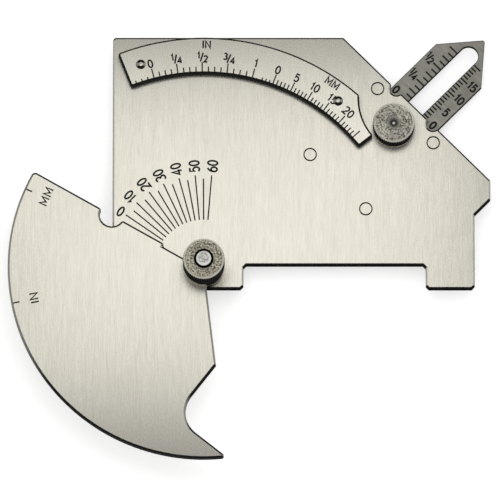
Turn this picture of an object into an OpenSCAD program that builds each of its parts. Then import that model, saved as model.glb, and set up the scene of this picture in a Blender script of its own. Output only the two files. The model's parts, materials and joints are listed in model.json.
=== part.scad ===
// Bridge weld gauge with a swinging cam, a fixed arc scale and a sliding throat pointer.
// It lies on its back. The plates are drawn round the cam pivot, with +X along the feet,
// +Y up the bridge plate and +Z out of its front, then moved to the middle of the base.

/* [Bridge plate] */
// Thickness of the bridge plate
body_t = 3; // [1.5:0.1:4]
// Metal above the arc scale, up to the top edge
top_margin = 0.6; // [0.3:0.1:3]
// Metal left of the arc scale, out to the left edge
left_margin = 1.3; // [0.3:0.1:4]
// From the cam's rim out to the 45 degree edge, along the pointer's axis
edge_out = 18.8; // [16:0.1:26]
// Height of the short right edge below the 45 degree edge
nose_h = 5.2; // [3:0.1:9]
// How far the nose stands out past the right foot
nose_out = 4.3; // [2:0.05:8]
// Width of the right foot
right_foot_w = 13.1; // [8:0.1:18]
// From the cam pivot to the inner side of the left foot
left_foot_end = 10.6; // [9:0.05:16]
// Height of the gap under the bridge, between the feet
bridge_h = 6.5; // [5:0.1:7.5]
// How far the feet stand below the cam's hub
foot_clear = 0.2; // [0.1:0.05:1]
// Bevel on the corners of the feet and of the gap
foot_bevel = 0.8; // [0.3:0.1:1.5]
// Bevel on the top left corner
corner_bevel = 0.6; // [0.2:0.1:2]
// Radius of the two notches that show the pointer's zero
zero_notch_r = 1.7; // [1:0.1:2]

/* [Cam] */
// Thickness of the cam
cam_t = 3; // [1.5:0.1:4]
// Radius of the cam's rim
cam_r = 52.6; // [45:0.1:60]
// Angle from the reading edge to the hook's edge
cam_span = 126.5; // [115:0.5:135]
// Angle of the reading edge as the cam lies
cam_rest = 150.4; // [145:0.1:155]
// Radius of the hub round the pivot
hub_r = 5.5; // [5:0.1:6.5]
// Depth of the step between the reading edge and the hub
step_d = 0.9; // [0.4:0.1:1.5]
// Where the reading edge starts, from the pivot
step_end = 12.2; // [9:0.1:16]
// Radius of the finger notch in the reading edge
finger_r = 3.2; // [2:0.1:4.5]
// Distance of the finger notch from the pivot
finger_x = 28.4; // [24:0.1:36]
// Distance of the hook's nose from the pivot
hook_start = 27.3; // [24:0.1:32]
// Fillet in the bottom of the hook
hook_fillet = 7.2; // [3:0.1:8]
// Rounding of the measuring tip
tip_round = 0.6; // [0.4:0.1:1.2]
// Rounding of the cam's upper corner
rim_round = 1.2; // [0.5:0.1:2.5]

/* [Arc scale] */
// Thickness of the scale plate
scale_t = 3; // [1.5:0.1:4]
// Radial width of the scale plate
scale_w = 9.9; // [8:0.1:12]
// Gap between the cam's rim and the scale plate
scale_gap = 0.3; // [0.2:0.05:0.8]
// Angle of the scale plate's left end
scale_left = 111.7; // [105:0.1:116]
// Angle of the scale plate's right end
scale_right = 38.2; // [34:0.1:46]
// Radius of the hollow that clears the clamp screw
relief_r = 15.8; // [12:0.1:20]
// Direction in which that hollow opens
relief_turn = 48.2; // [40:0.1:60]
// Rounding of the scale plate's corners
scale_round = 0.8; // [0.3:0.1:1.5]
// Angle of the left rivet
rivet_left = 107.1; // [102:0.1:110]
// Angle of the right rivet
rivet_right = 51.4; // [46:0.1:58]
// Radius of a rivet's shank
scale_rivet_r = 0.8; // [0.5:0.1:1.2]
// Radius of a rivet's domed head
scale_head_r = 1.25; // [1:0.05:2]
// Height of the domed head
scale_head_h = 0.5; // [0.3:0.05:0.8]

/* [Throat pointer] */
// Thickness of the pointer
pointer_t = 1.5; // [1:0.1:2.5]
// Width of the pointer
pointer_w = 17.2; // [14:0.1:20]
// From the 45 degree edge to the tip, with the pointer at zero
throat_zero = 27; // [22:0.1:32]
// How far the tip stays inside the line of the right edge
tip_inset = 1.2; // [0.5:0.1:3]
// Full angle of the pointed end
point_angle = 81; // [70:1:90]
// Rounding of the point
point_round = 0.6; // [0.3:0.1:1.5]
// Width of the slot
slot_w = 5.2; // [4.6:0.1:6]
// Metal between the slot and the tip
slot_land = 3.7; // [3:0.1:6]
// Slot left over behind the clamp screw
slot_spare = 2; // [1:0.1:4]
// Solid tail behind the slot
tail_l = 12; // [6:0.1:13]
// Bevel on the tail's corners
tail_bevel = 1; // [0.5:0.1:2]

/* [Guide and rear cover] */
// Thickness of the rear cover
cover_t = 1.5; // [1:0.1:3]
// Cover beyond the rivets, at the sides and at the back
cover_margin = 3; // [2.5:0.1:5]
// Rounding of the cover's corners
cover_round = 2; // [1:0.1:2.4]
// How far the cover stays behind the 45 degree edge
cover_inset = 1; // [0.5:0.1:1.5]
// Radius of a guide rivet's shoulder
guide_r = 1.9; // [1.4:0.05:2.2]
// Radius of a guide rivet's ends
guide_end_r = 1.3; // [0.8:0.05:1.35]
// Depth of a guide rivet's flush heads
guide_head_d = 0.35; // [0.2:0.05:0.5]
// From the 45 degree edge to the outer guide rivets
guide_inset = 3.5; // [3:0.1:5]
// Distance between the guide rivets along the pointer
guide_pitch = 25.7; // [20:0.1:30]

/* [Pivot and knobs] */
// Radius of the pivot stud's bearing
pivot_r = 3; // [2.6:0.1:3.5]
// Radius of the pivot stud's head
pivot_head_r = 4.5; // [4:0.1:5.2]
// Radius of the threads of the stud and of the clamp screw
thread_r = 2; // [1.5:0.1:2.2]
// Bevel on the ends of the stud
stud_bevel = 0.5; // [0.2:0.05:0.8]
// How far the stud stands out of the nut
stud_out = 0.8; // [0.5:0.1:2]
// How far the stud's bearing stops short of the cam's face, so that the nut clamps the cam
bearing_short = 0.25; // [0.1:0.05:0.5]
// Thickness of the cam washer
washer_t = 0.8; // [0.5:0.1:1.5]
// Outer radius of the cam washer
washer_r = 4.8; // [4:0.1:5.4]
// Radius of both knobs
knob_r = 5.6; // [5:0.1:5.7]
// Height of the cam's thumb nut
nut_h = 8.2; // [5:0.1:10]
// Height of the clamp screw's head
screw_head_h = 6.2; // [4:0.1:8]
// Bevel on the knobs' rims
knob_bevel = 0.55; // [0.3:0.05:0.9]
// Number of knurled ridges on a knob
knurl_count = 60; // [40:1:80]
// Depth of the knurling
knurl_d = 0.25; // [0.1:0.05:0.35]
// Radius of the recess in the nut's top
nut_sink_r = 2.6; // [2.4:0.1:3.2]
// Depth of that recess
nut_sink_d = 1.2; // [0.5:0.1:2.5]
// Radius of the centre dimple in the clamp screw
dimple_r = 1.75; // [1:0.05:2.5]
// Radius of the flat bottom of that dimple
dimple_floor_r = 0.55; // [0.3:0.05:0.9]
// From the 45 degree edge to the clamp screw
clamp_inset = 8; // [7:0.1:12]

/* [Fits] */
// Radial room of a rivet or stud in its hole
fit_gap = 0.02; // [0.01:0.01:0.05]
// Radial room of a turning or threaded piece
turn_gap = 0.05; // [0.03:0.01:0.1]
// Room over and under the pieces that slide flat
slide_gap = 0.05; // [0.03:0.01:0.1]
// Room between the pointer and its guide rivets
guide_gap = 0.06; // [0.03:0.01:0.15]
// Room of the clamp screw in the bridge plate
clamp_gap = 0.2; // [0.1:0.05:0.4]
// Room between the clamp screw's head and the scale plate
knob_gap = 0.4; // [0.3:0.1:1]
// Groove round a guide rivet's flush head
head_groove = 0.2; // [0.08:0.01:0.3]

/* [Hidden] */
$fn = 96;

steel = [0.85, 0.84, 0.79];
dark_steel = [0.50, 0.49, 0.46];
turned_steel = [0.60, 0.58, 0.53];

// How far a cutting shape runs past the metal that it cuts
past = 1;

// Levels, from the surface that the gauge lies on
pointer_z = cover_t + slide_gap;
body_z = pointer_z + pointer_t + slide_gap;
front_z = body_z + body_t;
cam_z = front_z + slide_gap;
cam_top = cam_z + cam_t;
scale_top = front_z + scale_t;
washer_top = cam_top + washer_t;
nut_z = washer_top + slide_gap;
nut_top = nut_z + nut_h;

// Outline of the bridge plate, from the cam and the scale that it carries
scale_ri = cam_r + scale_gap;
scale_ro = scale_ri + scale_w;
scale_mid = (scale_ri + scale_ro) / 2;
top_y = scale_ro + top_margin;
left_x = scale_ro * cos(scale_left) - left_margin;
foot_y = -hub_r - foot_clear;
bridge_y = foot_y + bridge_h;

// The pointer's axis runs at 45 degrees and meets the top edge's line at the tip
slide_turn = 45;
edge_a = cam_r + edge_out;
tip_a = edge_a + throat_zero;
tip_x = tip_a * sqrt(2) - top_y;
axis_b = (top_y - tip_x) / sqrt(2);
right_x = tip_x + tip_inset;
edge_x = edge_a * sqrt(2) - top_y;
nose_y = edge_a * sqrt(2) - right_x;
right_foot_x = right_x - nose_out;
gap_right_x = right_foot_x - right_foot_w;

// Places along the pointer's axis
clamp_a = edge_a - clamp_inset;
guide_a = edge_a - guide_inset;
guide_b = pointer_w / 2 + guide_gap + guide_r;
shoulder_a = tip_a - pointer_w / 2 / tan(point_angle / 2);
slot_out_a = tip_a - slot_land - slot_w / 2;
slot_in_a = clamp_a - slot_spare;
tail_a = slot_in_a - slot_w / 2 - tail_l;
zero_b = pointer_w / 2 - zero_notch_r;
clamp_at = [(clamp_a - axis_b) / sqrt(2), (clamp_a + axis_b) / sqrt(2)];

// The origin is the middle of the whole gauge as it lies
middle = [(right_x - cam_r) / 2, (top_y - cam_r) / 2, 0];

function polar(r, turn) = [r * cos(turn), r * sin(turn)];

// Puts a shape drawn along X onto the pointer's axis
module on_slide() {
    rotate(slide_turn) translate([0, axis_b]) children();
}

// Moves a finished piece from the pivot's frame to the gauge's own frame
module placed() {
    translate(-middle) children();
}

// What rounds the corner between a circular rim and the radial edge on X, with the metal below X.
// side is 1 on an outer rim and -1 on an inner one.
module rim_corner(rim, r, side) {
    reach = rim - side * r;
    mid = [sqrt(reach * reach - r * r), -r];
    difference() {
        polygon([mid, [mid.x, 0], [mid.x, past], [rim + side * past, past], mid * (rim + side * past) / reach]);
        translate(mid) circle(r);
    }
}

// What rounds a corner at the origin, whose two straight sides lie at half each side of -X
module straight_corner(half, r) {
    mid = [-r / sin(half), 0];
    out = 2 * r * [sin(half), cos(half)];
    difference() {
        polygon([mid, mid + out, [past, 0], mid + [out.x, -out.y]]);
        translate(mid) circle(r);
    }
}

// A flat sector between two angles, larger than the part that it trims
module sector(r, from, to) {
    steps = 6;
    polygon(concat([[0, 0]], [for (i = [0 : steps]) polar(2 * r, from + (to - from) * i / steps)]));
}

// The places of the four guide rivets
module at_guides() {
    on_slide()
        for (a = [guide_a, guide_a - guide_pitch], b = [-guide_b, guide_b])
            translate([a, b]) children();
}

module at_scale_rivets() {
    for (turn = [rivet_left, rivet_right])
        translate(polar(scale_mid, turn)) children();
}

module at_clamp() {
    translate(clamp_at) children();
}

module drill(r, z, h) {
    translate([0, 0, z - past]) cylinder(r = r, h = h + 2 * past);
}

// The hole for a guide rivet's end, countersunk at z_face. up is 1 where that face looks up.
module guide_hole(z, h, z_face, up) {
    sink_r = guide_end_r + guide_head_d + head_groove;
    hole_r = guide_end_r + fit_gap;
    drill(hole_r, z, h);
    translate([0, 0, z_face]) mirror([0, 0, up > 0 ? 1 : 0])
        translate([0, 0, -past]) cylinder(r1 = sink_r + past, r2 = hole_r, h = sink_r - hole_r + past);
}

module body_outline() {
    b = foot_bevel;
    difference() {
        polygon([
            [left_x + corner_bevel, top_y], [edge_x, top_y], [right_x, nose_y], [right_x, nose_y - nose_h],
            [right_foot_x, nose_y - nose_h - nose_out],
            [right_foot_x, foot_y + b], [right_foot_x - b, foot_y],
            [gap_right_x + b, foot_y], [gap_right_x, foot_y + b],
            [gap_right_x, bridge_y - b], [gap_right_x - b, bridge_y],
            [left_foot_end + b, bridge_y], [left_foot_end, bridge_y - b],
            [left_foot_end, foot_y + b], [left_foot_end - b, foot_y],
            [left_x + b, foot_y], [left_x, foot_y + b], [left_x, top_y - corner_bevel]]);
        on_slide() for (b = [-zero_b, zero_b]) translate([edge_a, b]) circle(zero_notch_r);
    }
}

module body_plate() {
    color(steel) placed() difference() {
        translate([0, 0, body_z]) linear_extrude(body_t) body_outline();
        drill(pivot_r + fit_gap, body_z, body_t);
        at_clamp() drill(thread_r + clamp_gap, body_z, body_t);
        at_scale_rivets() drill(scale_rivet_r + fit_gap, body_z, body_t);
        at_guides() guide_hole(body_z, body_t, front_z, 1);
    }
}

module scale_outline() {
    relief_at = clamp_at + polar(relief_r - knob_r - knob_gap, relief_turn);
    difference() {
        intersection() {
            difference() { circle(scale_ro); circle(scale_ri); }
            sector(scale_ro, scale_right, scale_left);
        }
        translate(relief_at) circle(relief_r);
        rotate(scale_left) rim_corner(scale_ro, scale_round, 1);
        rotate(scale_left) rim_corner(scale_ri, scale_round, -1);
        rotate(scale_right) mirror([0, 1]) rim_corner(scale_ri, scale_round, -1);
    }
}

module scale_plate() {
    color(steel) placed() difference() {
        translate([0, 0, front_z]) linear_extrude(scale_t) scale_outline();
        at_scale_rivets() drill(scale_rivet_r + fit_gap, front_z, scale_t);
    }
}

module scale_rivets() {
    dome_r = (scale_head_r * scale_head_r + scale_head_h * scale_head_h) / (2 * scale_head_h);
    color(turned_steel) placed() at_scale_rivets() {
        translate([0, 0, body_z]) cylinder(r = scale_rivet_r, h = body_t + scale_t);
        intersection() {
            translate([0, 0, scale_top]) cylinder(r = scale_head_r + past, h = scale_head_h + past);
            translate([0, 0, scale_top + scale_head_h - dome_r]) sphere(dome_r);
        }
    }
}

// The 45 degree V with a filleted bottom, cut in the hook's edge. It is drawn with that edge on X.
module hook_cut() {
    mid = (hook_start + cam_r) / 2;
    deep = (cam_r - hook_start) / 2;
    difference() {
        polygon([[hook_start - past, past], [mid, -deep], [cam_r + past, past]]);
        translate([mid, -deep]) rotate(-90) straight_corner(45, hook_fillet);
    }
}

// What rounds the tip, where the hook's 45 degree side meets the cam's rim
module tip_corner() {
    r = tip_round;
    reach = cam_r - r;
    lean = cam_r + r * sqrt(2);
    x = (lean + sqrt(2 * reach * reach - lean * lean)) / 2;
    mid = [x, x - lean];
    difference() {
        polygon([mid, mid + [-r, r] / sqrt(2), [cam_r - past, past], [cam_r + past, past],
                 mid * (cam_r + past) / reach]);
        translate(mid) circle(r);
    }
}

// The cam with its reading edge on X
module cam_outline() {
    difference() {
        union() {
            intersection() { circle(cam_r); sector(cam_r, 0, cam_span); }
            circle(hub_r);
        }
        difference() {
            translate([0, -past]) square([step_end, step_d + past]);
            circle(hub_r);
        }
        translate([finger_x, 0]) circle(finger_r);
        mirror([0, 1]) rim_corner(cam_r, rim_round, 1);
        rotate(cam_span) hook_cut();
        rotate(cam_span) tip_corner();
    }
}

module cam_plate() {
    color(steel) placed() difference() {
        translate([0, 0, cam_z]) linear_extrude(cam_t) rotate(cam_rest) cam_outline();
        drill(pivot_r + turn_gap, cam_z, cam_t);
    }
}

module pointer_outline() {
    w = pointer_w / 2;
    difference() {
        polygon([[tail_a + tail_bevel, w], [tail_a, w - tail_bevel], [tail_a, tail_bevel - w],
                 [tail_a + tail_bevel, -w], [shoulder_a, -w], [tip_a, 0], [shoulder_a, w]]);
        translate([slot_in_a, -slot_w / 2]) square([slot_out_a - slot_in_a, slot_w]);
        translate([slot_in_a, 0]) circle(slot_w / 2);
        translate([slot_out_a, 0]) circle(slot_w / 2);
        translate([tip_a, 0]) straight_corner(point_angle / 2, point_round);
    }
}

module throat_pointer() {
    color(dark_steel) placed() translate([0, 0, pointer_z])
        linear_extrude(pointer_t) on_slide() pointer_outline();
}

module guide_rivets() {
    head = guide_end_r + guide_head_d;
    color(turned_steel) placed() at_guides() rotate_extrude() polygon([
        [0, 0], [head, 0], [guide_end_r, guide_head_d], [guide_end_r, cover_t], [guide_r, cover_t],
        [guide_r, body_z], [guide_end_r, body_z], [guide_end_r, front_z - guide_head_d], [head, front_z],
        [0, front_z]]);
}

module cover_outline() {
    x0 = guide_a - guide_pitch - cover_margin;
    x1 = edge_a - cover_inset;
    y1 = guide_b + cover_margin;
    r = cover_round;
    translate([x0 + r, -y1]) square([x1 - x0 - 2 * r, 2 * y1]);
    translate([x0, r - y1]) square([x1 - x0, 2 * (y1 - r)]);
    for (x = [x0 + r, x1 - r], y = [r - y1, y1 - r]) translate([x, y]) circle(r);
}

module rear_cover() {
    color(steel) placed() difference() {
        linear_extrude(cover_t) on_slide() cover_outline();
        at_clamp() drill(thread_r + turn_gap, 0, cover_t);
        at_guides() guide_hole(0, cover_t, 0, -1);
    }
}

module pivot_stud() {
    bearing_top = cam_top - bearing_short;
    stud_top = nut_top + stud_out;
    color(turned_steel) placed() rotate_extrude() polygon([
        [0, 0], [pivot_head_r - stud_bevel, 0], [pivot_head_r, stud_bevel], [pivot_head_r, body_z],
        [pivot_r, body_z], [pivot_r, bearing_top], [thread_r, bearing_top], [thread_r, stud_top - stud_bevel],
        [thread_r - stud_bevel, stud_top], [0, stud_top]]);
}

module cam_washer() {
    color(turned_steel) placed() translate([0, 0, cam_top]) difference() {
        cylinder(r = washer_r, h = washer_t);
        drill(thread_r + turn_gap, 0, washer_t);
    }
}

// A knurled, bevelled knob standing on z = 0
module knob(h) {
    intersection() {
        linear_extrude(h) polygon([for (i = [0 : 2 * knurl_count - 1])
            polar(i % 2 == 0 ? knob_r : knob_r - knurl_d, 180 * i / knurl_count)]);
        rotate_extrude() polygon([[0, 0], [knob_r - knob_bevel, 0], [knob_r + past, knob_bevel + past],
            [knob_r + past, h - knob_bevel - past], [knob_r - knob_bevel, h], [0, h]]);
    }
}

module cam_thumb_nut() {
    color(turned_steel) placed() translate([0, 0, nut_z]) difference() {
        knob(nut_h);
        drill(thread_r + turn_gap, 0, nut_h);
        translate([0, 0, nut_h - nut_sink_d]) cylinder(r = nut_sink_r, h = nut_sink_d + past);
    }
}

module clamp_screw() {
    dimple_d = dimple_r - dimple_floor_r;
    color(turned_steel) placed() at_clamp() {
        translate([0, 0, slide_gap]) cylinder(r = thread_r, h = front_z);
        translate([0, 0, front_z + slide_gap]) difference() {
            knob(screw_head_h);
            translate([0, 0, screw_head_h - dimple_d])
                cylinder(r1 = dimple_floor_r, r2 = dimple_r + past, h = dimple_d + past);
        }
    }
}

body_plate();
scale_plate();
scale_rivets();
cam_plate();
throat_pointer();
guide_rivets();
rear_cover();
pivot_stud();
cam_washer();
cam_thumb_nut();
clamp_screw();
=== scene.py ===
import json
import math
import bpy
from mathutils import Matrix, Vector


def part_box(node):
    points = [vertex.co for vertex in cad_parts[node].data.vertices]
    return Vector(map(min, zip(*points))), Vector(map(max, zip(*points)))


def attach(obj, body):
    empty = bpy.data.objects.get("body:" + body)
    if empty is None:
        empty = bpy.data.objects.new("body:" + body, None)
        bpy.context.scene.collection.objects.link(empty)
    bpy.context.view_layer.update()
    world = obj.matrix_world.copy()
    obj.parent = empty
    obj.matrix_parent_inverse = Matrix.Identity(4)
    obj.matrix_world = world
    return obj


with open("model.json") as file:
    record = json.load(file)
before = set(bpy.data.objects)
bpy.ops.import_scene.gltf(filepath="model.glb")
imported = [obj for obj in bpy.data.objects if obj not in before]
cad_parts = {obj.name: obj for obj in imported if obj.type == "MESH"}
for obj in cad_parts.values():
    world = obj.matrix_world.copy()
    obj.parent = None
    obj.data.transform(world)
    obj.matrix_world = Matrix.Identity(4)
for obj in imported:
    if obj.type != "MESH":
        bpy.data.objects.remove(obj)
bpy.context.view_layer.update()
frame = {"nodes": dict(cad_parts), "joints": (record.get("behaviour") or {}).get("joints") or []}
nodes = frame["nodes"]
joints = {j["name"]: j for j in frame["joints"]}
scene = bpy.context.scene
mm = 0.001
print("stage: frame loaded,", len(nodes), "nodes")

# places that the marks are measured from
pivot = Vector(joints["cam_swing"]["pos_m"])
clampAt = Vector(joints["screw_turn"]["pos_m"])
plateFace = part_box("body_plate")[1].z
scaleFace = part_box("scale_plate")[1].z
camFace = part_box("cam_plate")[1].z
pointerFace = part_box("throat_pointer")[1].z


# camera: a long lens leaning towards the feet

viewpoint = {"tilt": 12.0, "distanceMm": 3000.0, "sensor": 36.0, "fieldMm": 134.1,
             "target": (0.2, -0.96, 8.15), "clip": 20.0}

tilt = math.radians(viewpoint["tilt"])
back = Vector((0.0, -math.sin(tilt), math.cos(tilt)))
lensData = bpy.data.cameras.new("photoCamera")
lensData.lens = viewpoint["sensor"] * viewpoint["distanceMm"] / viewpoint["fieldMm"]
lensData.sensor_width = viewpoint["sensor"]
lensData.clip_end = viewpoint["clip"]
camera = bpy.data.objects.new("photoCamera", lensData)
scene.collection.objects.link(camera)
camera.location = (Vector(viewpoint["target"]) + back * viewpoint["distanceMm"]) * mm
camera.rotation_euler = (tilt, 0.0, 0.0)
scene.camera = camera
scene.view_settings.view_transform = "Standard"
print("stage: camera set")


# shader groups that several finishes share

def makeGroup(name, inputs, outputs):
    tree = bpy.data.node_groups.new(name, "ShaderNodeTree")
    for label, kind, value in inputs:
        sock = tree.interface.new_socket(label, in_out="INPUT", socket_type=kind)
        sock.default_value = value
    for label, kind in outputs:
        tree.interface.new_socket(label, in_out="OUTPUT", socket_type=kind)
    return tree, tree.nodes.new("NodeGroupInput"), tree.nodes.new("NodeGroupOutput")


def addMath(tree, operation, a, b=None, clamp=False):
    node = tree.nodes.new("ShaderNodeMath")
    node.operation = operation
    node.use_clamp = clamp
    for sock, value in zip(node.inputs, (a, b)):
        if value is None:
            continue
        if hasattr(value, "links"):
            tree.links.new(value, sock)
        else:
            sock.default_value = value
    return node.outputs[0]


def addRange(tree, value, low, high, outLow=0.0, outHigh=1.0):
    node = tree.nodes.new("ShaderNodeMapRange")
    tree.links.new(value, node.inputs["Value"])
    node.inputs["From Min"].default_value = low
    node.inputs["From Max"].default_value = high
    node.inputs["To Min"].default_value = outLow
    node.inputs["To Max"].default_value = outHigh
    return node.outputs["Result"]


def addMix(tree, factor, a, b):
    node = tree.nodes.new("ShaderNodeMix")
    node.data_type = "RGBA"
    for place, value in ((0, factor), (6, a), (7, b)):  # the node's colour sockets
        sock = node.inputs[place]
        if hasattr(value, "links"):
            tree.links.new(value, sock)
        elif isinstance(value, tuple):
            sock.default_value = (*value, 1.0)
        else:
            sock.default_value = value
    return node.outputs[2]


def addNoise(tree, vector, scale, detail, roughness):
    node = tree.nodes.new("ShaderNodeTexNoise")
    node.inputs["Scale"].default_value = scale
    node.inputs["Detail"].default_value = detail
    node.inputs["Roughness"].default_value = roughness
    tree.links.new(vector, node.inputs["Vector"])
    return node.outputs["Fac"]


def addVector(tree, operation, a, b=None):
    node = tree.nodes.new("ShaderNodeVectorMath")
    node.operation = operation
    tree.links.new(a, node.inputs[0])
    if b is not None:
        tree.links.new(b, node.inputs[1])
    return node


# brushed grain: long streaks across which the tone and height change
grainShape = {"fineDetail": 4.0, "fineRough": 0.7, "broadScale": 0.17, "broadDetail": 2.0, "broadRough": 0.5,
              "broadShare": 0.2, "low": 0.3, "high": 0.7}


def buildBrushGrain():
    tree, entry, result = makeGroup(
        "brushGrain",
        [("Turn", "NodeSocketFloat", 0.0), ("Across", "NodeSocketFloat", 2600.0),
         ("Along", "NodeSocketFloat", 130.0)],
        [("Streak", "NodeSocketFloat"), ("Height", "NodeSocketFloat")])
    coord = tree.nodes.new("ShaderNodeTexCoord")
    turn = tree.nodes.new("ShaderNodeVectorRotate")
    turn.rotation_type = "Z_AXIS"
    tree.links.new(coord.outputs["Object"], turn.inputs["Vector"])
    tree.links.new(entry.outputs["Turn"], turn.inputs["Angle"])
    stretch = tree.nodes.new("ShaderNodeCombineXYZ")
    for label, axis in (("Across", "X"), ("Along", "Y"), ("Across", "Z")):
        tree.links.new(entry.outputs[label], stretch.inputs[axis])
    scaled = addVector(tree, "MULTIPLY", turn.outputs[0], stretch.outputs[0]).outputs[0]
    fine = addNoise(tree, scaled, 1.0, grainShape["fineDetail"], grainShape["fineRough"])
    broad = addNoise(tree, scaled, grainShape["broadScale"], grainShape["broadDetail"],
                     grainShape["broadRough"])
    fineShare = addMath(tree, "MULTIPLY", fine, 1.0 - grainShape["broadShare"])
    broadShare = addMath(tree, "MULTIPLY", broad, grainShape["broadShare"])
    both = addMath(tree, "ADD", fineShare, broadShare)
    tree.links.new(addRange(tree, both, grainShape["low"], grainShape["high"]), result.inputs["Streak"])
    tree.links.new(fine, result.inputs["Height"])
    return tree


# sides and broken edges: 1 where the surface turns away from the face, less where it heads left or right;
# the finishes paint shade with this mask, and the smaller share left and right is painted light on those
# edges
edgeBand = {"wallFrom": 0.2, "wallFull": 0.08, "endFrom": 0.8, "endFull": 0.97}


def buildTurnedAway():
    tree, entry, result = makeGroup(
        "turnedAway",
        [("Flat", "NodeSocketFloat", 0.97), ("Steep", "NodeSocketFloat", 0.6),
         ("Ends", "NodeSocketFloat", 0.0)],
        [("Mask", "NodeSocketFloat"), ("Wall", "NodeSocketFloat")])
    geo = tree.nodes.new("ShaderNodeNewGeometry")
    attached = tree.nodes.new("ShaderNodeVectorTransform")  # keeps the mask with a piece that moves
    attached.vector_type = "NORMAL"
    attached.convert_from = "WORLD"
    attached.convert_to = "OBJECT"
    tree.links.new(geo.outputs["True Normal"], attached.inputs[0])
    split = tree.nodes.new("ShaderNodeSeparateXYZ")
    tree.links.new(attached.outputs[0], split.inputs[0])
    facing = addMath(tree, "ABSOLUTE", split.outputs["Z"])
    span = addMath(tree, "SUBTRACT", entry.outputs["Flat"], entry.outputs["Steep"])
    away = addMath(tree, "SUBTRACT", entry.outputs["Flat"], facing)
    steep = addMath(tree, "DIVIDE", away, span, True)
    tree.links.new(addRange(tree, facing, edgeBand["wallFrom"], edgeBand["wallFull"]), result.inputs["Wall"])
    level = tree.nodes.new("ShaderNodeCombineXYZ")
    tree.links.new(split.outputs["X"], level.inputs["X"])
    tree.links.new(split.outputs["Y"], level.inputs["Y"])
    heading = tree.nodes.new("ShaderNodeSeparateXYZ")
    tree.links.new(addVector(tree, "NORMALIZE", level.outputs[0]).outputs[0], heading.inputs[0])
    sideways = addMath(tree, "ABSOLUTE", heading.outputs["X"])
    ends = addRange(tree, sideways, edgeBand["endFrom"], edgeBand["endFull"])
    kept = addMath(tree, "SUBTRACT", 1.0, addMath(tree, "MULTIPLY", ends, entry.outputs["Ends"]))
    tree.links.new(addMath(tree, "MULTIPLY", steep, kept), result.inputs["Mask"])
    return tree


# handling marks: soft blotches and small dark specks
markShape = {"blotchDetail": 5.0, "blotchRough": 0.62, "blotchLow": 0.32, "blotchHigh": 0.68,
             "speckScale": 4.3, "speckDetail": 3.0, "speckRough": 0.7, "speckLow": 0.56, "speckHigh": 0.68}


def buildHandling():
    tree, entry, result = makeGroup(
        "handling",
        [("Scale", "NodeSocketFloat", 300.0), ("Specks", "NodeSocketFloat", 0.5)],
        [("Blotch", "NodeSocketFloat"), ("Speck", "NodeSocketFloat")])
    coord = tree.nodes.new("ShaderNodeTexCoord")
    scaled = addVector(tree, "SCALE", coord.outputs["Object"])
    tree.links.new(entry.outputs["Scale"], scaled.inputs["Scale"])
    place = scaled.outputs[0]
    blotch = addNoise(tree, place, 1.0, markShape["blotchDetail"], markShape["blotchRough"])
    speck = addNoise(tree, place, markShape["speckScale"], markShape["speckDetail"], markShape["speckRough"])
    soft = addRange(tree, blotch, markShape["blotchLow"], markShape["blotchHigh"])
    tree.links.new(soft, result.inputs["Blotch"])
    picked = addRange(tree, speck, markShape["speckLow"], markShape["speckHigh"])
    tree.links.new(addMath(tree, "MULTIPLY", picked, entry.outputs["Specks"]), result.inputs["Speck"])
    return tree


# round an axis: 1 inside a radius, and rings left by a turning tool
ringShape = {"spread": 90.0, "detail": 3.0, "rough": 0.6, "low": 0.3, "high": 0.7}


def buildRoundAxis():
    tree, entry, result = makeGroup(
        "roundAxis",
        [("Axis", "NodeSocketVector", (0.0, 0.0, 0.0)), ("Radius", "NodeSocketFloat", 0.002),
         ("Soft", "NodeSocketFloat", 0.0002), ("Rings", "NodeSocketFloat", 4000.0)],
        [("Inside", "NodeSocketFloat"), ("Ring", "NodeSocketFloat")])
    coord = tree.nodes.new("ShaderNodeTexCoord")
    offset = addVector(tree, "SUBTRACT", coord.outputs["Object"], entry.outputs["Axis"]).outputs[0]
    level = addVector(tree, "MULTIPLY", offset)
    level.inputs[1].default_value = (1.0, 1.0, 0.0)
    reach = addVector(tree, "LENGTH", level.outputs[0]).outputs["Value"]
    room = addMath(tree, "SUBTRACT", entry.outputs["Radius"], reach)
    shade = addMath(tree, "ADD", addMath(tree, "DIVIDE", room, entry.outputs["Soft"]), 0.5, True)
    tree.links.new(shade, result.inputs["Inside"])
    spread = addVector(tree, "SCALE", offset)
    spread.inputs["Scale"].default_value = ringShape["spread"]
    turns = tree.nodes.new("ShaderNodeCombineXYZ")
    tree.links.new(addMath(tree, "MULTIPLY", reach, entry.outputs["Rings"]), turns.inputs["Z"])
    both = addVector(tree, "ADD", spread.outputs[0], turns.outputs[0]).outputs[0]
    rings = addNoise(tree, both, 1.0, ringShape["detail"], ringShape["rough"])
    tree.links.new(addRange(tree, rings, ringShape["low"], ringShape["high"]), result.inputs["Ring"])
    return tree


brushGrain = buildBrushGrain()
roundAxis = buildRoundAxis()
turnedAway = buildTurnedAway()
handling = buildHandling()
print("stage: shader groups built")


def placeGroup(tree, group, **values):
    node = tree.nodes.new("ShaderNodeGroup")
    node.node_tree = group
    for label, value in values.items():
        node.inputs[label].default_value = value
    return node


def newFinish(name, metallic, specular):
    material = bpy.data.materials.new(name)
    material.use_nodes = True
    shader = material.node_tree.nodes["Principled BSDF"]
    shader.inputs["Metallic"].default_value = metallic
    shader.inputs["Specular IOR Level"].default_value = specular
    return material, material.node_tree, shader


def addBump(tree, shader, height, look):
    bump = tree.nodes.new("ShaderNodeBump")
    bump.inputs["Strength"].default_value = look["bump"]
    bump.inputs["Distance"].default_value = look["bumpDepth"] * mm
    tree.links.new(height, bump.inputs["Height"])
    tree.links.new(bump.outputs[0], shader.inputs["Normal"])


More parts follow.
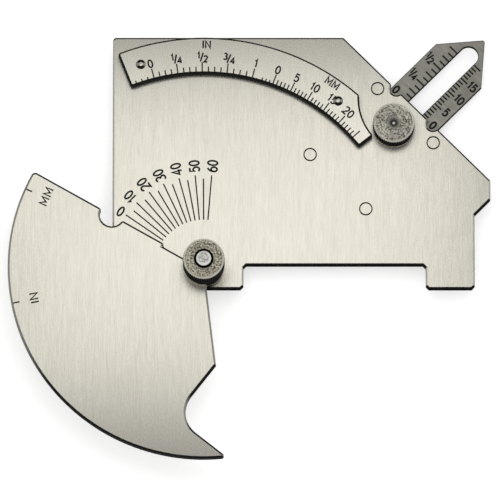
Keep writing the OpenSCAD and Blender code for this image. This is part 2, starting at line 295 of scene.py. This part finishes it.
# rougher where the pattern is dark, and dull where a mask says
def addRoughness(tree, shader, pattern, mask, look):
    rough = addRange(tree, pattern, 0.0, 1.0, look["rough"] + look["roughSpread"],
                     look["rough"] - look["roughSpread"])
    dull = addMath(tree, "MULTIPLY", mask, look["sideRough"])
    tree.links.new(addMath(tree, "MAXIMUM", rough, dull), shader.inputs["Roughness"])


# brushed plates: broken edges painted near black and walls painted a darker steel, painted shade along the
# edges
def brushedFinish(name, look):
    material, tree, shader = newFinish(name, look["metallic"], look["sideShine"])
    grain = placeGroup(tree, brushGrain, Turn=math.radians(look["turn"]), Across=look["across"],
                       Along=look["along"])
    marks = placeGroup(tree, handling, Scale=look["markScale"], Specks=look["specks"])
    # painted light: edges heading left or right keep more of the face colour
    sides = placeGroup(tree, turnedAway, Flat=look["flat"], Steep=look["steep"], Ends=look["paintedLitEnds"])
    streak = grain.outputs["Streak"]
    tone = addMix(tree, streak, look["dark"], look["pale"])
    blotch = addMath(tree, "MULTIPLY", marks.outputs["Blotch"], look["blotch"])
    cloud = addMix(tree, blotch, tone, look["dull"])
    worn = addMix(tree, marks.outputs["Speck"], cloud, look["dull"])
    # the walls are painted a darker steel than the face: partly a darker cut edge, partly painted shade
    wall = addMix(tree, streak, look["wallDark"], look["wallPale"])
    bare = addMath(tree, "MULTIPLY", sides.outputs["Wall"], look["bareWall"])
    # painted shade: the side colour paints the broken edges near black, a painted dark reflection; walls
    # take the wall colours as far as bareWall allows
    cut = addMix(tree, bare, look["side"], wall)
    tree.links.new(addMix(tree, sides.outputs["Mask"], worn, cut), shader.inputs["Base Color"])
    slope = addMath(tree, "SUBTRACT", sides.outputs["Mask"], bare, True)
    addRoughness(tree, shader, streak, slope, look)
    tree.links.new(addMath(tree, "SUBTRACT", look["metallic"], slope, True), shader.inputs["Metallic"])
    addBump(tree, shader, grain.outputs["Height"], look)
    return material


# turned knobs: mottled tops, bevels painted pale as a painted highlight, knurled sides painted dark with
# darker grooves as painted shade
def turnedFinish(name, look):
    material, tree, shader = newFinish(name, look["metallic"], look["sideShine"])
    shader.inputs["Anisotropic"].default_value = look["turned"]
    shader.inputs["Anisotropic Rotation"].default_value = look["lay"]
    marks = placeGroup(tree, handling, Scale=look["markScale"], Specks=look["specks"])
    bevels = placeGroup(tree, turnedAway, Flat=look["bevelFlat"], Steep=look["bevelSteep"])
    sides = placeGroup(tree, turnedAway, Flat=look["sideFlat"], Steep=look["sideSteep"])
    hollow = placeGroup(tree, roundAxis, Axis=look["axis"], Radius=look["hollow"] * mm,
                        Soft=look["soft"] * mm, Rings=look["rings"])
    blotchShare = addMath(tree, "MULTIPLY", marks.outputs["Blotch"], 1.0 - look["ringShare"])
    ringShare = addMath(tree, "MULTIPLY", hollow.outputs["Ring"], look["ringShare"])
    mottle = addMath(tree, "ADD", blotchShare, ringShare)
    clearer = addRange(tree, mottle, look["mottleLow"], look["mottleHigh"])
    tone = addMix(tree, clearer, look["dark"], look["pale"])
    worn = addMix(tree, marks.outputs["Speck"], tone, look["speck"])
    # painted highlight: the bevels take the pale bevel colour
    rim = addMix(tree, bevels.outputs["Mask"], worn, look["bevel"])
    # painted shade: the hollow is painted dark, darkest towards the axis
    cut = addMix(tree, hollow.outputs["Inside"], rim, look["paintedHollowShade"])
    # painted highlight: a pale disc at the centre of the dimple
    floor = placeGroup(tree, roundAxis, Axis=look["axis"], Radius=look["floor"] * mm)
    top = addMix(tree, floor.outputs["Inside"], cut, look["paintedGlintTone"])
    grooves = placeGroup(tree, roundAxis, Axis=look["axis"], Radius=look["flutes"] * mm,
                         Soft=look["fluteSoft"] * mm)
    # painted shade: the knurled sides are painted dark, and the groove bottoms near black
    knurl = addMix(tree, grooves.outputs["Inside"], look["side"], look["paintedGrooveShade"])
    side = sides.outputs["Mask"]
    tree.links.new(addMix(tree, side, top, knurl), shader.inputs["Base Color"])
    tree.links.new(addMath(tree, "SUBTRACT", look["metallic"], side, True), shader.inputs["Metallic"])
    addRoughness(tree, shader, mottle, side, look)
    addBump(tree, shader, marks.outputs["Blotch"], look)
    return material


# side is the near-black painted shade on the plates' broken edges, and on the ring round each rivet
plateLook = {"metallic": 1.0, "turn": 0.0, "across": 5200.0, "along": 210.0, "markScale": 45.0,
             "specks": 0.0, "flat": 0.98, "steep": 0.94, "dark": (0.665, 0.64, 0.555),
             "pale": (0.805, 0.78, 0.69), "dull": (0.62, 0.60, 0.51), "blotch": 0.12,
             "rough": 0.27, "roughSpread": 0.04, "bump": 0.25, "bumpDepth": 0.04,
             "side": (0.012, 0.012, 0.011), "sideRough": 0.85, "sideShine": 0.08, "paintedLitEnds": 0.45,
             "bareWall": 1.0, "wallDark": (0.17, 0.165, 0.145), "wallPale": (0.28, 0.27, 0.24)}
# edges heading left or right are painted lighter, painted light: about half way on the plates, nearly to the
# face colour on the body
bodyLook = dict(plateLook, paintedLitEnds=0.9)
# the scale plate's walls are painted near black, painted shade along its rims
scaleLook = dict(plateLook, paintedLitEnds=0.0, bareWall=0.15, dark=(0.71, 0.69, 0.60), pale=(0.85, 0.825, 0.73),
                 wallDark=(0.03, 0.029, 0.025), wallPale=(0.06, 0.058, 0.05))
pointerLook = dict(plateLook, turn=-45.0, across=1900.0, along=240.0, markScale=160.0, specks=0.25,
                   dark=(0.285, 0.276, 0.237), pale=(0.47, 0.456, 0.396), dull=(0.20, 0.195, 0.165),
                   blotch=0.35, rough=0.46)
rivetLook = dict(plateLook, across=900.0, along=500.0, blotch=0.25)

# the knurl grooves inside this depth are painted near black, painted shade
fluteDepth = 0.07  # in millimetres, where the knurling turns darkest


def fluteRadius(name):
    low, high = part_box(name)
    return (high.x - low.x) / 2 / mm - fluteDepth


nutLook = {"metallic": 1.0, "turned": 0.75, "lay": 0.25, "markScale": 2300.0, "specks": 0.6,
           "dark": (0.055, 0.049, 0.035), "pale": (0.62, 0.58, 0.46), "mottleLow": 0.3, "mottleHigh": 0.7,
           # bevel is a painted highlight on the knobs' rims
           "speck": (0.03, 0.026, 0.02), "bevel": (0.66, 0.64, 0.56), "bevelFlat": 0.97, "bevelSteep": 0.8,
           # side and paintedGrooveShade are painted shade on the knurled sides and in their grooves
           "side": (0.03, 0.029, 0.026), "sideFlat": 0.6, "sideSteep": 0.35, "paintedGrooveShade": (0.002, 0.002, 0.002),
           "flutes": fluteRadius("cam_thumb_nut"), "fluteSoft": 0.1, "sideRough": 0.7, "sideShine": 0.06,
           "rough": 0.45, "roughSpread": 0.08, "bump": 0.3, "bumpDepth": 0.1,
           "axis": (pivot.x, pivot.y, 0.0), "rings": 5200.0, "ringShare": 0.35,
           # the hole round the stud is painted black, painted shade
           "hollow": 2.66, "soft": 0.15, "paintedHollowShade": (0.006, 0.006, 0.006),
           "floor": 0.0, "paintedGlintTone": (0.0, 0.0, 0.0)}  # a radius of 0 means none
# the screw's dimple is painted darker towards its centre, painted shade
screwLook = dict(nutLook, flutes=fluteRadius("clamp_screw"), axis=(clampAt.x, clampAt.y, 0.0),
                 dark=(0.09, 0.084, 0.067), pale=(0.69, 0.665, 0.57), hollow=1.35, soft=1.6,
                 # paintedGlintTone paints a pale disc at the dimple's centre, a painted highlight
                 paintedHollowShade=(0.04, 0.037, 0.033), floor=0.36, paintedGlintTone=(0.75, 0.74, 0.70))
# the stud's chamfer is painted near white, a painted highlight
studLook = dict(nutLook, turned=0.0, dark=(0.28, 0.27, 0.245), pale=(0.72, 0.71, 0.67),
                bevel=(0.97, 0.97, 0.95), specks=0.3, hollow=0.0, flutes=0.0)

plateSteel = brushedFinish("plateSteel", plateLook)
bodySteel = brushedFinish("bodySteel", bodyLook)
scaleSteel = brushedFinish("scaleSteel", scaleLook)
pointerSteel = brushedFinish("pointerSteel", pointerLook)
rivetSteel = brushedFinish("rivetSteel", rivetLook)
nutSteel = turnedFinish("nutSteel", nutLook)
screwSteel = turnedFinish("screwSteel", screwLook)
studSteel = turnedFinish("studSteel", studLook)

finishes = {"body_plate": bodySteel, "scale_plate": scaleSteel, "cam_plate": plateSteel,
            "rear_cover": plateSteel, "throat_pointer": pointerSteel, "guide_rivets": rivetSteel,
            "scale_rivets": rivetSteel, "pivot_stud": studSteel, "cam_washer": studSteel,
            "cam_thumb_nut": nutSteel, "clamp_screw": screwSteel}
for name, finish in finishes.items():
    nodes[name].data.materials.clear()
    nodes[name].data.materials.append(finish)
print("stage: finishes placed on", len(finishes), "nodes")


# broken edges of the plates, in millimetres and degrees

edgeBreak = {"weld": 0.002, "flat": 0.5, "angle": 50.0, "segments": 2,
             "widths": {"body_plate": 0.45, "scale_plate": 0.5, "cam_plate": 0.54, "rear_cover": 0.3,
                        "throat_pointer": 0.2, "guide_rivets": 0.18}}


def joinFaces(name):
    weld = nodes[name].modifiers.new("joinFaces", "WELD")
    weld.merge_threshold = edgeBreak["weld"] * mm


for name, width in edgeBreak["widths"].items():
    joinFaces(name)
    flatten = nodes[name].modifiers.new("plainFaces", "DECIMATE")
    flatten.decimate_type = "DISSOLVE"
    flatten.angle_limit = math.radians(edgeBreak["flat"])
    bevel = nodes[name].modifiers.new("edgeBreak", "BEVEL")
    bevel.width = width * mm
    bevel.segments = edgeBreak["segments"]
    bevel.use_clamp_overlap = False
    bevel.loop_slide = False
    bevel.limit_method = "ANGLE"
    bevel.angle_limit = math.radians(edgeBreak["angle"])
    split = nodes[name].modifiers.new("splitFaces", "TRIANGULATE")
    split.ngon_method = "BEAUTY"
joinFaces("scale_rivets")
print("stage: plate edges broken")


# etched marks: flat strokes of black, drawn in millimetres round the pivot

inkLook = {"colour": (0.008, 0.008, 0.008), "worn": (0.035, 0.033, 0.03), "metallic": 0.0, "shine": 0.25,
           "rough": 0.62, "markScale": 900.0, "specks": 0.6, "above": 0.015, "below": 0.02,
           "closedWithin": 1e-6, "mitreLimit": 0.45}


def inkFinish():
    material, tree, shader = newFinish("etchedBlack", inkLook["metallic"], inkLook["shine"])
    marks = placeGroup(tree, handling, Scale=inkLook["markScale"], Specks=inkLook["specks"])
    tree.links.new(addMix(tree, marks.outputs["Speck"], inkLook["colour"], inkLook["worn"]),
                   shader.inputs["Base Color"])
    shader.inputs["Roughness"].default_value = inkLook["rough"]
    return material


etchedBlack = inkFinish()


def arc(cx, cy, rx, ry, start, end, count=14):
    steps = [math.radians(start + (end - start) * i / count) for i in range(count + 1)]
    return [(cx + rx * math.cos(a), cy + ry * math.sin(a)) for a in steps]


# single-stroke figures: width, then strokes on a cap height of 1
figures = {
    "0": (0.60, [arc(0.30, 0.5, 0.27, 0.5, 90, 450, 28)]),
    "1": (0.40, [[(0.06, 0.76), (0.26, 1.0), (0.26, 0.0)]]),
    "2": (0.60, [arc(0.29, 0.72, 0.26, 0.28, 165, -28) + [(0.02, 0.0), (0.58, 0.0)]]),
    "3": (0.58, [arc(0.27, 0.75, 0.24, 0.25, 150, -90), arc(0.27, 0.25, 0.28, 0.25, 90, -150)]),
    "4": (0.62, [[(0.44, 0.0), (0.44, 1.0), (0.02, 0.32), (0.62, 0.32)]]),
    "5": (0.58, [[(0.52, 1.0), (0.12, 1.0), (0.07, 0.54)] + arc(0.27, 0.33, 0.28, 0.33, 130, -145)]),
    "6": (0.60, [arc(0.30, 0.31, 0.27, 0.31, 90, 450, 24),
                 [(0.03, 0.33), (0.07, 0.58), (0.19, 0.82), (0.42, 1.0)]]),
    "/": (0.40, [[(0.0, -0.1), (0.36, 1.1)]]),
    "I": (0.18, [[(0.09, 0.0), (0.09, 1.0)]]),
    "N": (0.76, [[(0.07, 0.0), (0.07, 1.0), (0.66, 0.0), (0.66, 1.0)]]),
    "M": (0.88, [[(0.07, 0.0), (0.07, 1.0), (0.43, 0.25), (0.79, 1.0), (0.79, 0.0)]]),
}
figureGap = 0.17
fraction = {"scale": 0.82, "lift": 0.24, "gap": 0.3}


# strokes of one word, with its left end and its middle height at the origin
def wordStrokes(word, cap, narrow=1.0):
    strokes = []
    x = 0.0
    gap = figureGap * (fraction["gap"] if "/" in word else 1.0)
    for i, letter in enumerate(word):
        width, shapes = figures[letter]
        size, lift = 1.0, 0.0
        if "/" in word and letter != "/":
            size = fraction["scale"]
            lift = (1.0 - size) / 2 + fraction["lift"] * (1 if i < word.index("/") else -1)
        for shape in shapes:
            strokes.append([((x + px * size) * cap * narrow, (py * size + lift - 0.5) * cap)
                            for px, py in shape])
        x += width * size + gap
    return strokes, (x - figureGap) * cap * narrow


def placeStrokes(strokes, at, turn, shift=0.0):
    c, s = math.cos(math.radians(turn)), math.sin(math.radians(turn))
    return [[(at[0] + (x + shift) * c - y * s, at[1] + (x + shift) * s + y * c) for x, y in stroke]
            for stroke in strokes]


# a word centred on a place, as strokes with their width
def centredWord(word, cap, at, turn, stroke, narrow=1.0):
    strokes, wide = wordStrokes(word, cap, narrow)
    return [(s, stroke) for s in placeStrokes(strokes, at, turn, -wide / 2)]


def polar(radius, degrees):
    return radius * math.cos(math.radians(degrees)), radius * math.sin(math.radians(degrees))


def unitStep(p, q):
    dx, dy = q[0] - p[0], q[1] - p[1]
    length = math.hypot(dx, dy) or 1.0
    return dx / length, dy / length


# from a point on a stroke to its left side, mitred at corners
def sideStep(before, here, after, half):
    d1 = unitStep(before, here) if before else unitStep(here, after)
    d2 = unitStep(here, after) if after else d1
    nx, ny = -(d1[1] + d2[1]), d1[0] + d2[0]
    size = math.hypot(nx, ny) or 1.0
    nx, ny = nx / size, ny / size
    cut = max(nx * -d1[1] + ny * d1[0], inkLook["mitreLimit"])
    return nx * half / cut, ny * half / cut


# one mesh of flat solid strokes, level with a face
def etchedPiece(name, body, lines, face):
    points, faces = [], []
    low, high = face - inkLook["below"] * mm, face + inkLook["above"] * mm
    for stroke, width in lines:
        closed = math.dist(stroke[0], stroke[-1]) < inkLook["closedWithin"]
        path = stroke[:-1] if closed else stroke
        count = len(path)
        base = len(points)
        for i, here in enumerate(path):
            before = path[i - 1] if closed or i > 0 else None
            after = path[(i + 1) % count] if closed or i < count - 1 else None
            sx, sy = sideStep(before, here, after, width / 2)
            for side, z in ((1, high), (-1, high), (-1, low), (1, low)):
                x, y = here[0] + side * sx, here[1] + side * sy
                points.append((pivot.x + x * mm, pivot.y + y * mm, z))
        for i in range(count if closed else count - 1):
            a, b = base + 4 * i, base + 4 * ((i + 1) % count)
            for k in range(4):
                faces.append((a + k, a + (k + 1) % 4, b + (k + 1) % 4, b + k))
        if not closed:
            end = base + 4 * (count - 1)
            faces.append((base + 3, base + 2, base + 1, base))
            faces.append((end, end + 1, end + 2, end + 3))
    mesh = bpy.data.meshes.new(name)
    mesh.from_pydata(points, [], faces)
    mesh.validate()
    mesh.materials.append(etchedBlack)
    piece = bpy.data.objects.new(name, mesh)
    scene.collection.objects.link(piece)
    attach(piece, body)


inch = 25.4
inchParts = 16
acrossRadius = 90.0  # turn of a word that reads across a radius

# angle fan on the bridge plate, read by the cam's straight edge
fan = {"zero": 145.3, "step": 5.0, "last": 60.0, "inner": 13.2, "tens": 25.5, "fives": 24.5, "labels": 26.5,
       "cap": 2.6, "narrow": 0.86, "line": 0.36, "stroke": 0.5}

lines = []
reading = 0.0
while reading <= fan["last"]:
    angle = fan["zero"] - reading
    ten = reading % (2 * fan["step"]) == 0
    outer = fan["tens"] if ten else fan["fives"]
    lines.append(([polar(fan["inner"], angle), polar(outer, angle)], fan["line"]))
    if ten:
        strokes = wordStrokes(f"{reading:.0f}", fan["cap"], fan["narrow"])[0]
        lines += [(s, fan["stroke"]) for s in placeStrokes(strokes, polar(fan["labels"], angle), angle)]
    reading += fan["step"]
etchedPiece("angleFan", "bridge", lines, plateFace)

# reach of the cam's tip: how far the cam turns for a height in millimetres
tip = {"reach": 51.8, "drop": 4.9}


def camTurn(height):
    start = math.asin(tip["drop"] / tip["reach"])
    end = math.asin((tip["drop"] - height) / tip["reach"])
    return math.degrees(start - end)


# curved scale: inches on the left, millimetres on the right
arcScale = {"rim": 53.3, "short": 1.4, "long": 2.6, "unit": 2.5, "line": 0.35, "stroke": 0.44, "cap": 2.05,
            "labels": 57.3, "names": 60.8, "before": 3, "beforeShort": 0.7,
            "inchZero": 104.6, "inchName": 89.3, "inchLong": 4, "inchWords": ("0", "1/4", "1/2", "3/4", "1"),
            "mmZero": 69.65, "mmName": 55.4, "mmLong": 5, "mmLast": 25, "mmLabelled": 20}

lines = []


def scaleTick(angle, length):
    lines.append(([polar(arcScale["rim"], angle), polar(arcScale["rim"] + length, angle)], arcScale["line"]))


def scaleWord(word, radius, angle):
    lines.extend(centredWord(word, arcScale["cap"], polar(radius, angle), angle - acrossRadius,
                             arcScale["stroke"]))


def tickLength(i, longEvery):
    if i < 0:
        return arcScale["beforeShort"]
    return arcScale["long"] if i % longEvery == 0 else arcScale["short"]


for i in range(-arcScale["before"], inchParts + 1):
    angle = arcScale["inchZero"] - camTurn(i * inch / inchParts)
    scaleTick(angle, arcScale["unit"] if i == inchParts else tickLength(i, arcScale["inchLong"]))
    if i >= 0 and i % arcScale["inchLong"] == 0:
        scaleWord(arcScale["inchWords"][i // arcScale["inchLong"]], arcScale["labels"], angle)
for i in range(-arcScale["before"], arcScale["mmLast"] + 1):
    angle = arcScale["mmZero"] - camTurn(i)
    scaleTick(angle, tickLength(i, arcScale["mmLong"]))
    if 0 <= i <= arcScale["mmLabelled"] and i % arcScale["mmLong"] == 0:
        scaleWord(str(i), arcScale["labels"], angle)
scaleWord("IN", arcScale["names"], arcScale["inchName"])
scaleWord("MM", arcScale["names"], arcScale["mmName"])
etchedPiece("arcGraduations", "bridge", lines, scaleFace)

# index marks on the cam's rim
camIndex = {"rim": 52.15, "length": 1.8, "line": 0.4, "places": (("MM", 156.3), ("IN", 191.4)),
            "labels": 46.3, "back": 0.4, "cap": 2.15, "wide": 1.2, "stroke": 0.42}
lines = []
for word, angle in camIndex["places"]:
    lines.append(([polar(camIndex["rim"] - camIndex["length"], angle), polar(camIndex["rim"], angle)],
                  camIndex["line"]))
    lines += centredWord(word, camIndex["cap"], polar(camIndex["labels"], angle - camIndex["back"]),
                         angle - acrossRadius, camIndex["stroke"], camIndex["wide"])
etchedPiece("camIndex", "cam", lines, camFace)

# throat scales on the pointer, measured from the plate's sloping edge
throat = {"clampToEdge": 8.0, "slotSide": 2.8, "line": 0.45, "stroke": 0.55, "cap": 2.1, "ahead": 0.38,
          "wordTurn": -45.0, "inchZero": 7.3, "inchLabels": 7.1, "inchStroke": 0.45, "inchNarrow": 0.84,
          "inchTicks": (2.7, 1.75, 2.3, 1.75), "inchCount": 12, "inchWords": ("1/4", "1/2"), "labels": 6.7,
          "mmShort": 1.65, "mmLong": 2.4, "mmEvery": 5, "mmCount": 20, "mmLabelled": 15}
slide = Vector(joints["pointer_slide"]["axis"]).normalized()
across = Vector((-slide.y, slide.x, 0.0))
clampPoint = (clampAt - pivot) / mm
quarterInch = inch / 4


def onPointer(along, aside):
    spot = clampPoint + slide * (throat["clampToEdge"] + along) + across * aside
    return spot.x, spot.y


lines = []


def throatTick(along, side, length):
    inner = onPointer(along, side * throat["slotSide"])
    outer = onPointer(along, side * (throat["slotSide"] + length))
    lines.append(([inner, outer], throat["line"]))


def throatWord(word, along, aside, stroke, narrow=1.0):
    at = onPointer(along + throat["ahead"], aside)
    lines.extend(centredWord(word, throat["cap"], at, throat["wordTurn"], stroke, narrow))


for i in range(throat["inchCount"] + 1):
    throatTick(i * inch / inchParts, 1, throat["inchTicks"][i % len(throat["inchTicks"])])
for i in range(throat["mmCount"] + 1):
    throatTick(i, -1, throat["mmLong"] if i % throat["mmEvery"] == 0 else throat["mmShort"])
throatWord("0", 0.0, throat["inchZero"], throat["stroke"])
for i, word in enumerate(throat["inchWords"], 1):
    throatWord(word, i * quarterInch, throat["inchLabels"], throat["inchStroke"], throat["inchNarrow"])
for i in range(0, throat["mmLabelled"] + 1, throat["mmEvery"]):
    throatWord(str(i), i, -throat["labels"], throat["stroke"])
etchedPiece("throatGraduations", "pointer", lines, pointerFace)
print("stage: marks etched")


# floor and light, in metres

# darkReflectionReach: ray lengths within which the floor is painted black to reflections, painted shade on
# the plates' sides
studio = {"floor": 3.0, "floorDrop": 0.0001, "floorColour": (0.93, 0.93, 0.93), "floorGlow": 0.57,
          "darkReflectionReach": (0.0095, 0.013), "ambient": 0.14, "horizon": 0.9, "roomLow": 0.6, "roomHigh": 1.0,
          "bandPower": 0.0505, "bandSize": (0.155, 0.1), "bandAt": (-0.0075, 0.036, 0.165),
          "bandAim": (-0.0075, 0.0, 0.0),
          "keyPower": 0.355, "keySize": (0.385, 0.385), "keyAt": (0.28, 0.42, 0.55),
          "keyAim": (0.0, 0.0, 0.0)}

floorMesh = bpy.data.meshes.new("paleFloor")
half = studio["floor"] / 2
corners = [(-half, -half, 0), (half, -half, 0), (half, half, 0), (-half, half, 0)]
floorMesh.from_pydata(corners, [], [(0, 1, 2, 3)])
paleFloor = bpy.data.objects.new("paleFloor", floorMesh)
paleFloor.location.z = -studio["floorDrop"]
scene.collection.objects.link(paleFloor)
floorFinish = bpy.data.materials.new("paleFloor")
floorFinish.use_nodes = True
tree = floorFinish.node_tree
tree.nodes.clear()
matt = tree.nodes.new("ShaderNodeBsdfDiffuse")
glow = tree.nodes.new("ShaderNodeEmission")
seen = tree.nodes.new("ShaderNodeLightPath")
blendIn = tree.nodes.new("ShaderNodeAddShader")
surface = tree.nodes.new("ShaderNodeOutputMaterial")
# painted shade: the floor turns black to short reflections, so the plates' sides close above it show a
# painted dark reflection
near = addRange(tree, seen.outputs["Ray Length"], *studio["darkReflectionReach"], 1.0, 0.0)
clear = addMath(tree, "SUBTRACT", 1.0, addMath(tree, "MULTIPLY", near, seen.outputs["Is Glossy Ray"]))
direct = addMath(tree, "MAXIMUM", seen.outputs["Is Camera Ray"], seen.outputs["Is Glossy Ray"])
shown = addMath(tree, "MULTIPLY", direct, clear)
tree.links.new(addMath(tree, "MULTIPLY", shown, studio["floorGlow"]), glow.inputs["Strength"])
tree.links.new(addMix(tree, clear, (0.0, 0.0, 0.0), studio["floorColour"]), matt.inputs["Color"])
tree.links.new(matt.outputs[0], blendIn.inputs[0])
tree.links.new(glow.outputs[0], blendIn.inputs[1])
tree.links.new(blendIn.outputs[0], surface.inputs[0])
floorMesh.materials.append(floorFinish)

# a room that is bright low down and dimmer overhead
world = bpy.data.worlds.new("paleRoom")
scene.world = world
world.use_nodes = True
tree = world.node_tree
tree.nodes.clear()
seen = tree.nodes.new("ShaderNodeLightPath")
room = tree.nodes.new("ShaderNodeBackground")
surface = tree.nodes.new("ShaderNodeOutputWorld")
coord = tree.nodes.new("ShaderNodeTexCoord")
split = tree.nodes.new("ShaderNodeSeparateXYZ")
tree.links.new(coord.outputs["Generated"], split.inputs[0])
height = addRange(tree, split.outputs["Z"], studio["roomLow"], studio["roomHigh"], studio["horizon"],
                  studio["ambient"])
shown = addMath(tree, "MAXIMUM", height, seen.outputs["Is Camera Ray"])
tree.links.new(shown, room.inputs["Strength"])
tree.links.new(room.outputs[0], surface.inputs[0])


def softLamp(name, at, aim, power, size):
    data = bpy.data.lights.new(name, "AREA")
    data.shape = "RECTANGLE"
    data.size, data.size_y = size
    data.energy = power
    lamp = bpy.data.objects.new(name, data)
    scene.collection.objects.link(lamp)
    lamp.location = at
    lamp.rotation_euler = (Vector(at) - Vector(aim)).to_track_quat("Z", "Y").to_euler()


softLamp("bandLamp", studio["bandAt"], studio["bandAim"], studio["bandPower"], studio["bandSize"])
softLamp("keyLamp", studio["keyAt"], studio["keyAim"], studio["keyPower"], studio["keySize"])
print("stage: floor and light set")
